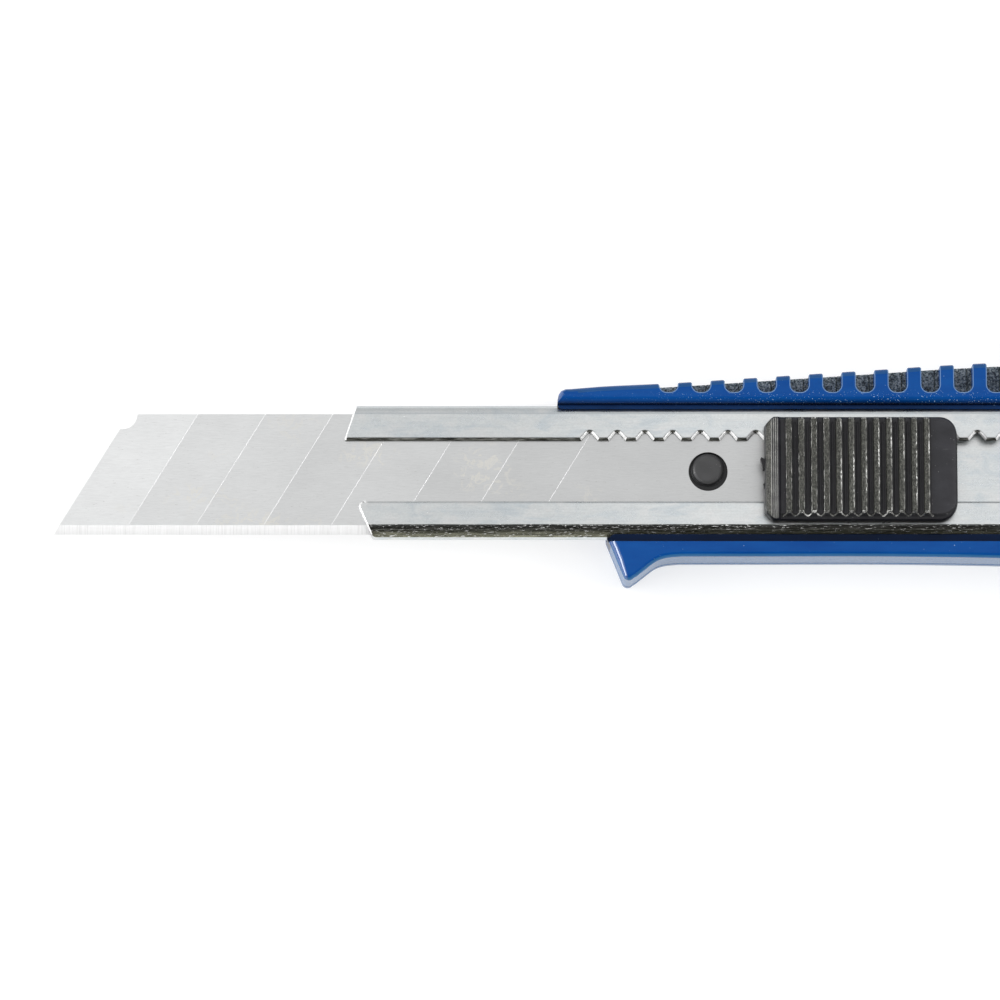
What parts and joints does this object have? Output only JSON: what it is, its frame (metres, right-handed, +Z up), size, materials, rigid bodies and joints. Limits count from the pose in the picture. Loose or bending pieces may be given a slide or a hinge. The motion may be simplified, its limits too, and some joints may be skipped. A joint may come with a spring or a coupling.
{
  "type": "snap-off utility knife",
  "caption": "Snap-off utility knife: wide segmented blade in a notched steel sheath, blue handle with finger guard, ribbed thumb slider and end cap.",
  "frame": {"origin": "centre of the bounding box at its lowest face, so the knife lies on its back on z = 0", "axes": "+X along the knife from the blade's tip to the end cap, +Y from the cutting edge to the spine, +Z up through the thickness, towards the slider"},
  "size_m": [0.207, 0.033, 0.0129],
  "materials": {
    "blue_abs": "satin-gloss moulded",
    "spine_rubber": "fine stippled",
    "zinc_steel": "zinc plated, satin",
    "blade_steel": "fine ground along the blade",
    "carrier_nylon": "satin moulded",
    "spring_steel": "blanked strip",
    "slider_nylon": "moulded, scuffed on the ribs",
    "cap_nylon": "moulded, fine grained"
  },
  "bodies": {
    "handle": {"handle_body": "blue_abs", "spine_grip": "spine_rubber", "sheath": "zinc_steel"},
    "carriage": {"blade": "blade_steel", "blade_carrier": "carrier_nylon", "lock_spring": "spring_steel"},
    "slider": {"thumb_slider": "slider_nylon"},
    "cap": {"end_cap": "cap_nylon"}
  },
  "joints": [
    {"name": "blade_slide", "type": "slide", "parent": "handle", "child": "carriage", "axis": [1, 0, 0], "range_m": [-0.0369, 0.0492]},
    {"name": "slider_press", "type": "slide", "parent": "carriage", "child": "slider", "axis": [0, 0, -1], "range_m": [0, 0.0008], "stiffness_N_per_m": 3000, "springref_m": -0.0004, "deforming": ["lock_spring"]},
    {"name": "cap_pull", "type": "slide", "parent": "handle", "child": "cap", "axis": [1, 0, 0], "range_m": [0, 0.016]}
  ]
}
